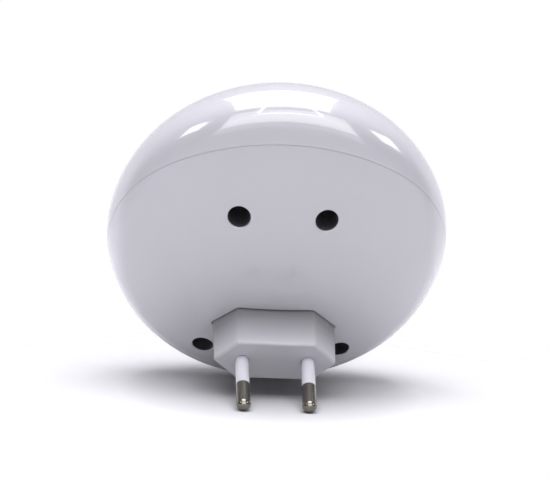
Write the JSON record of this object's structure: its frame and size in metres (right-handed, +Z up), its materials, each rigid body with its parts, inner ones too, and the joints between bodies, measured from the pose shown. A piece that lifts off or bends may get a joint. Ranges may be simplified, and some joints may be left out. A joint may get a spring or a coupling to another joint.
{
  "type": "ultrasonic pest repeller",
  "caption": "Round domed plug-in pest repeller: a glossy split case on a flat mains plug, with a front sound grille, an indicator lens and a press button.",
  "frame": {"origin": "centre of the plug's flat end face, midway between the pins", "axes": "+Y along the pins into the wall socket, -Y towards the room, +Z up, +X to the right seen from the room"},
  "size_m": [0.0994, 0.0759, 0.0994],
  "materials": {
    "gloss_white": "glossy moulded ABS with a faint cool tint",
    "matt_white": "satin moulded plastic, slightly greyer than the case",
    "sleeve_white": "smooth insulating sleeve",
    "nickel": "nickel-plated brass with fine turning marks",
    "steel": "zinc-plated steel screw",
    "lens": "frosted clear acrylic",
    "board_green": "glass-fibre board under solder mask",
    "black_plastic": "black moulded plastic",
    "foam": "closed-cell foam",
    "thin_aluminium": "bare pressed aluminium",
    "brass": "bare brass disc",
    "film_yellow": "yellow moulded capacitor case",
    "cap_sleeve": "dark shrink sleeve",
    "varistor_blue": "blue epoxy coat",
    "resistor_coat": "tan lacquer",
    "ferrite": "sintered ferrite",
    "copper": "enamelled copper wire",
    "wire_brown": "brown PVC insulation",
    "wire_blue": "blue PVC insulation",
    "wire_red": "red PVC insulation"
  },
  "bodies": {
    "case": {"front_shell": "gloss_white", "rear_cover": "gloss_white", "case_screws": "steel", "plug_body": "matt_white", "plug_screws": "steel", "pin_left": "nickel", "pin_right": "nickel", "pin_sleeve_left": "sleeve_white", "pin_sleeve_right": "sleeve_white", "front_grille": "matt_white", "indicator_lens": "lens", "speaker_gasket": "foam", "speaker_frame": "black_plastic", "speaker_cone": "thin_aluminium", "piezo_disc": "brass", "speaker_screws": "steel", "speaker_leads": "wire_red", "circuit_board": "board_green", "board_screws": "steel", "switch_case": "black_plastic", "indicator_led": "lens", "film_capacitor": "film_yellow", "smoothing_capacitor": "cap_sleeve", "varistor": "varistor_blue", "fusible_resistor": "resistor_coat", "bridge_rectifier": "black_plastic", "controller_chip": "black_plastic", "inductor_core": "ferrite", "inductor_winding": "copper", "driver_transistors": "black_plastic", "axial_resistors": "resistor_coat", "live_lead": "wire_brown", "neutral_lead": "wire_blue"},
    "mode_button": {"mode_button": "matt_white"},
    "switch_plunger": {"switch_plunger": "matt_white"}
  },
  "joints": [
    {"name": "mode_button_press", "type": "slide", "parent": "case", "child": "mode_button", "axis": [0, 1, 0], "range_m": [0, 0.0003], "stiffness_N_per_m": 2000, "springref_m": -0.0005},
    {"name": "switch_plunger_press", "type": "slide", "parent": "case", "child": "switch_plunger", "axis": [0, 1, 0], "range_m": [0, 0.0003]}
  ],
  "couplings": [
    {"joint": "switch_plunger_press", "follows": "mode_button_press", "ratio": 1}
  ]
}
